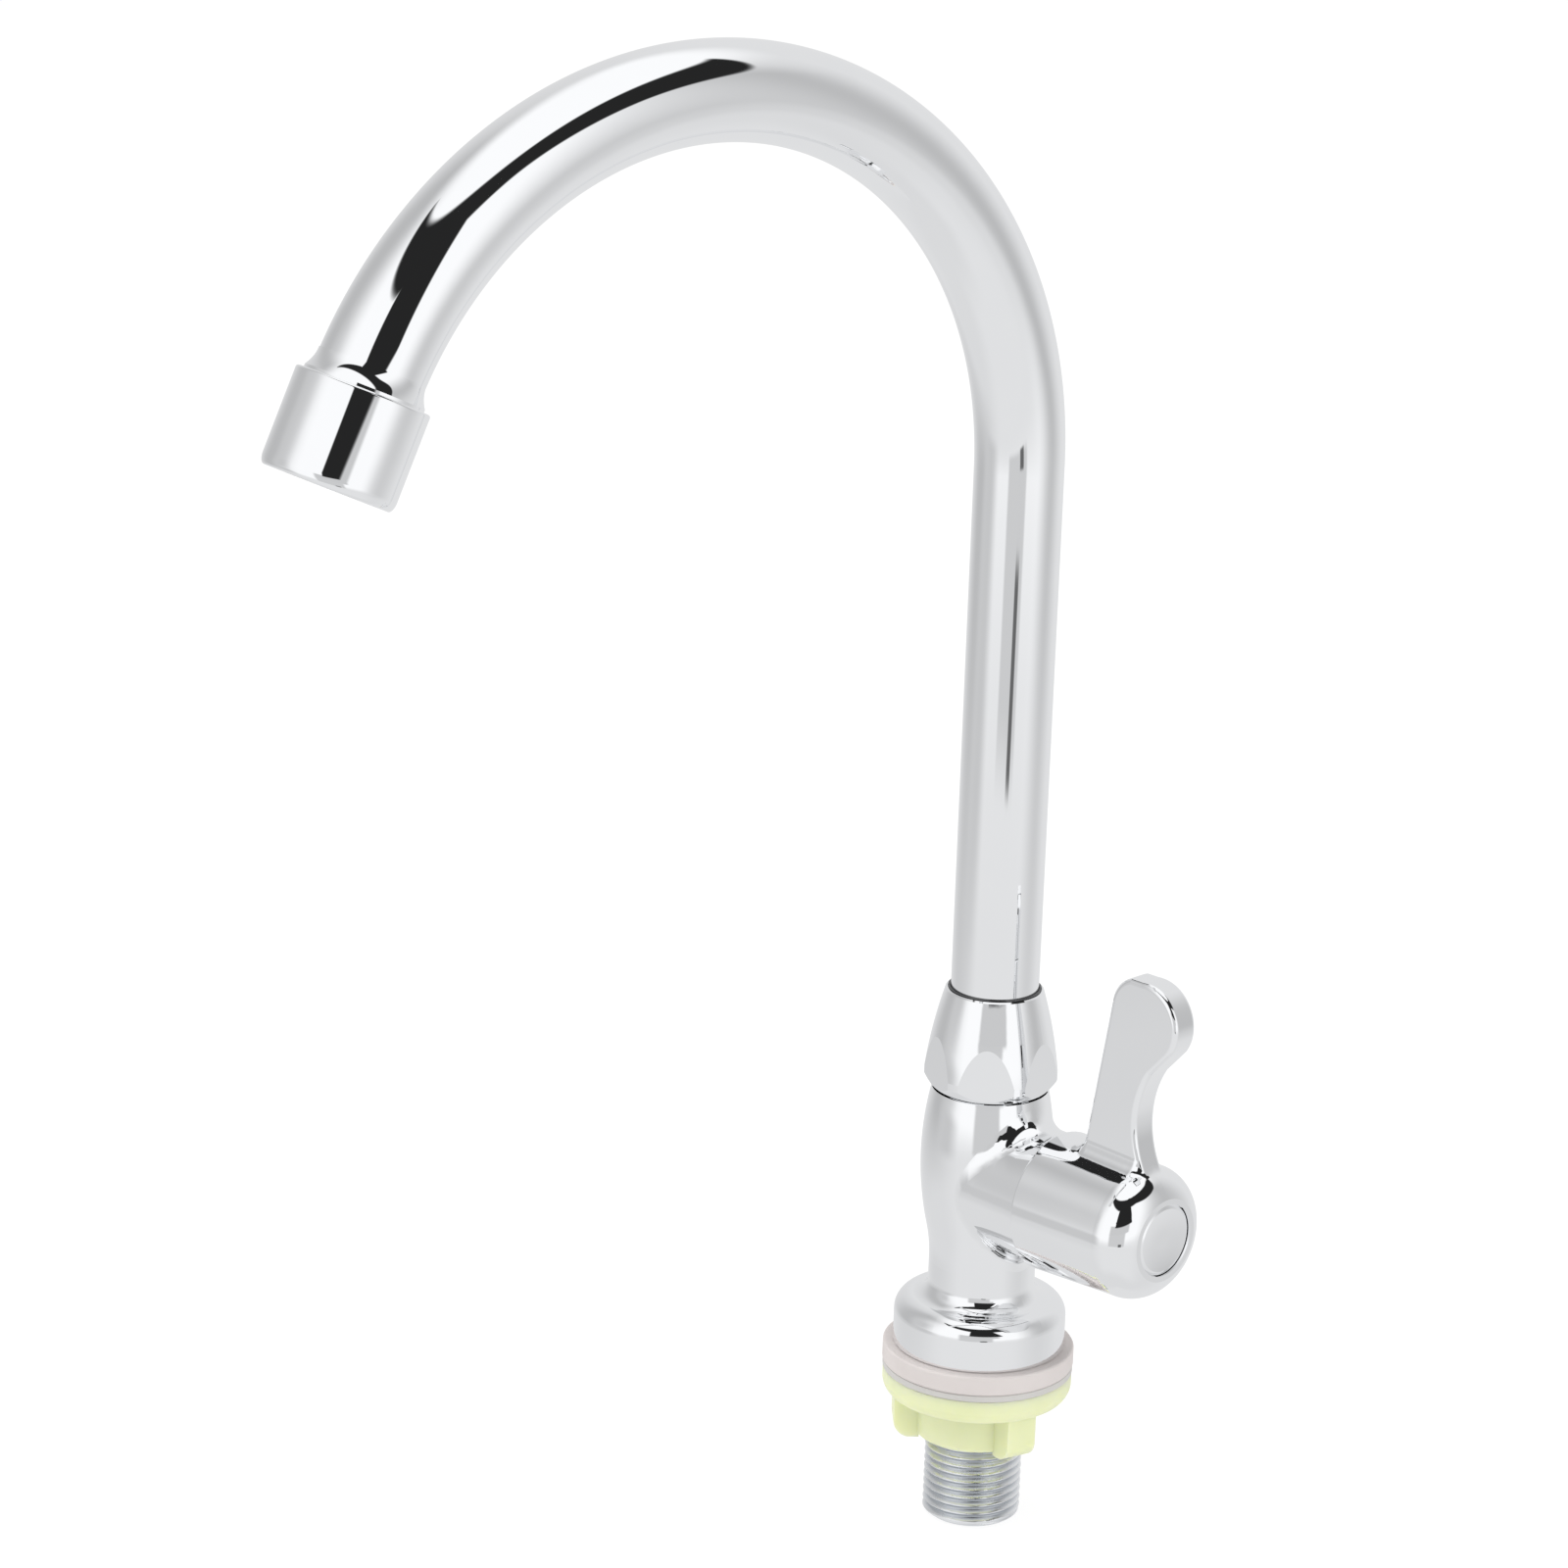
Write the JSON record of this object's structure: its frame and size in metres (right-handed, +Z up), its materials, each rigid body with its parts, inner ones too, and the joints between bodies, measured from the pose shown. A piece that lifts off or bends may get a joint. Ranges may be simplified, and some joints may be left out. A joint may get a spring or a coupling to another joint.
{
  "type": "single lever kitchen tap",
  "caption": "Chromed kitchen tap with a side lever, a swivelling swan-neck spout, a screw-on aerator and a threaded tail with washers and a plastic backnut.",
  "frame": {"origin": "on the pillar's axis, at the underside of the foot, where it meets the deck", "axes": "+Z up along the pillar, +X along the valve's axis towards the lever, +Y to the back, away from the spout"},
  "size_m": [0.0872, 0.2006, 0.3273],
  "materials": {
    "chromed_brass": "mirror-bright chrome plate",
    "plain_brass": "machined, unplated",
    "plain_grey_metal": "plain grey metal, cut thread",
    "stainless_steel": "bright stainless",
    "pink_grey_rubber": "matt pinkish grey",
    "black_rubber": "matt black",
    "pale_grey_plastic": "matt pale grey",
    "pale_yellow_green_plastic": "milky pale yellow green",
    "black_plastic": "glossy black",
    "white_plastic": "matt white",
    "white_ceramic": "ground white ceramic"
  },
  "bodies": {
    "fixed_body": {"tap_body": "chromed_brass", "threaded_shank": "plain_grey_metal", "tail_seal": "black_rubber", "spout_nut": "chromed_brass", "spout_slip_ring": "black_plastic", "spout_friction_ring": "white_plastic", "cartridge_housing": "plain_brass", "cartridge_o_ring": "black_rubber", "cartridge_seat_seal": "black_rubber", "ceramic_disc_fixed": "white_ceramic"},
    "handle": {"handle_lever": "chromed_brass", "handle_screw": "stainless_steel", "handle_cap": "chromed_brass", "cartridge_spindle": "plain_brass", "ceramic_disc_moving": "white_ceramic", "spindle_o_rings": "black_rubber", "spindle_circlip": "stainless_steel"},
    "spout": {"spout_tube": "chromed_brass", "spout_base": "plain_brass", "spout_o_ring_lower": "black_rubber", "spout_o_ring_upper": "black_rubber", "spout_end_fitting": "chromed_brass"},
    "fixing_washers": {"rubber_washer": "pink_grey_rubber", "plastic_washer": "pale_grey_plastic"},
    "backnut": {"backnut": "pale_yellow_green_plastic"},
    "aerator_core": {"outlet_gasket": "black_rubber", "aerator_insert": "white_plastic", "aerator_screens": "stainless_steel", "aerator_grille": "white_plastic"},
    "aerator_sleeve": {"aerator_housing": "chromed_brass"}
  },
  "joints": [
    {"name": "lever_turn", "type": "hinge", "parent": "fixed_body", "child": "handle", "pos_m": [0, 0, 0.03845], "axis": [1, 0, 0], "range_deg": [0, 90]},
    {"name": "spout_swivel", "type": "hinge", "parent": "fixed_body", "child": "spout", "pos_m": [0, 0, 0.06], "axis": [0, 0, 1], "continuous": true},
    {"name": "washer_drop", "type": "slide", "parent": "fixed_body", "child": "fixing_washers", "axis": [0, 0, -1], "range_m": [0, 0.014]},
    {"name": "backnut_turn", "type": "hinge", "parent": "fixing_washers", "child": "backnut", "pos_m": [0, 0, -0.0135], "axis": [0, 0, -1], "range_deg": [0, 2778]},
    {"name": "aerator_drop", "type": "slide", "parent": "spout", "child": "aerator_core", "axis": [-0.053, -0.4193, -0.9063], "range_m": [0, 0.005]},
    {"name": "aerator_turn", "type": "hinge", "parent": "aerator_core", "child": "aerator_sleeve", "pos_m": [-0.02074, -0.16422, 0.2202], "axis": [-0.053, -0.4193, -0.9063], "range_deg": [0, 1800]}
  ],
  "couplings": [
    {"joint": "backnut_turn", "follows": "washer_drop", "rad_per_m": 3463.7},
    {"joint": "aerator_turn", "follows": "aerator_drop", "rad_per_m": 6283.2}
  ]
}
